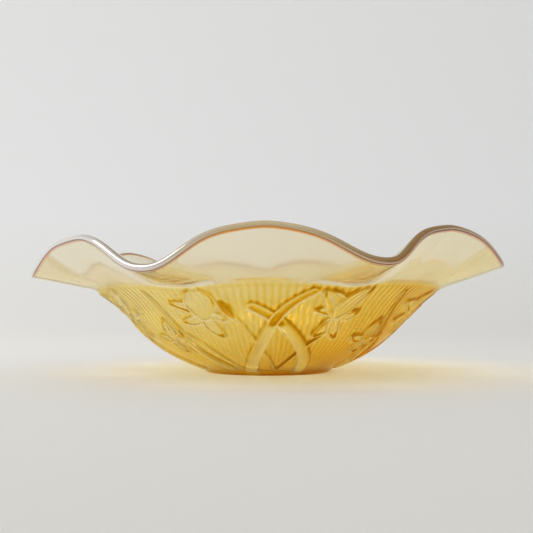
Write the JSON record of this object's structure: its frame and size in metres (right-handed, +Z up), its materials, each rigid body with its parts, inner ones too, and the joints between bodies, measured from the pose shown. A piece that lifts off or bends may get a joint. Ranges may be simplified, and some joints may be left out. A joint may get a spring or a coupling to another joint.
{
  "type": "ruffled glass bowl",
  "caption": "Wide shallow pressed glass fruit bowl in iridescent amber, with ribbed iris relief on the wall, a plain flared flange and a ruffled fire-polished rim.",
  "frame": {"origin": "centre of the foot, on the plane that the bowl stands on", "axes": "+Z up out of the bowl, -Y towards the front, where a rim crest and the crossing leaves of one motif face the viewer"},
  "size_m": [0.2837, 0.2811, 0.083],
  "materials": {
    "amber_glass": "clear amber glass, fire polished, with a thin iridescent metallic lustre fired onto both faces"
  },
  "bodies": {
    "root": {"glass_bowl": "amber_glass"}
  },
  "joints": []
}
